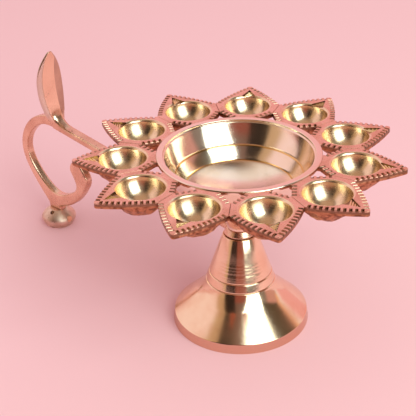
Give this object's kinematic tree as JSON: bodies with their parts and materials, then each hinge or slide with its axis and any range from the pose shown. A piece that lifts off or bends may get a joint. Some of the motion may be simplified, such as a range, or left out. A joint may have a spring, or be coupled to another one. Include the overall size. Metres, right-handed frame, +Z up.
{
  "type": "aarti lamp",
  "caption": "Turned brass bowl ringed with pointed leaf-shaped wick cups on a screwed bell base, with a long bar handle ending in a thumb leaf and a scrolled finger loop.",
  "frame": {"origin": "centre of the bell base's open foot, on the table", "axes": "+Z up along the bell's axis, -X out along the handle"},
  "size_m": [0.2485, 0.1569, 0.1096],
  "materials": {
    "turned_brass": "turned bright on a lathe, fine rings and scratches",
    "polished_brass": "turned and polished, faint turning lines",
    "leaf_brass": "matt as cast on the leaf and below, turned satin inside the cup",
    "cast_brass": "matt as cast, hand filed",
    "foot_brass": "turned, dull",
    "pin_brass": "filed flush",
    "washer_brass": "dull, darkened",
    "stud_brass": "plain drawn rod"
  },
  "bodies": {
    "bell": {"bell_base": "turned_brass"},
    "washer": {"neck_washer": "washer_brass"},
    "top": {"centre_stud": "stud_brass", "central_bowl": "polished_brass", "handle": "cast_brass", "handle_foot": "foot_brass", "foot_pin": "pin_brass", "petal_cup_01": "leaf_brass", "petal_cup_02": "leaf_brass", "petal_cup_03": "leaf_brass", "petal_cup_04": "leaf_brass", "petal_cup_05": "leaf_brass", "petal_cup_06": "leaf_brass", "petal_cup_07": "leaf_brass", "petal_cup_08": "leaf_brass", "petal_cup_09": "leaf_brass", "petal_cup_10": "leaf_brass", "petal_cup_11": "leaf_brass"}
  },
  "joints": [
    {"name": "base_turn", "type": "hinge", "parent": "bell", "child": "washer", "pos_m": [0, 0, 0.049], "axis": [0, 0, 1], "range_deg": [0, 2880]},
    {"name": "base_unscrew", "type": "slide", "parent": "washer", "child": "top", "axis": [0, 0, 1], "range_m": [0, 0.0101]}
  ],
  "couplings": [
    {"joint": "base_unscrew", "follows": "base_turn", "m_per_rad": 0.00019894}
  ]
}
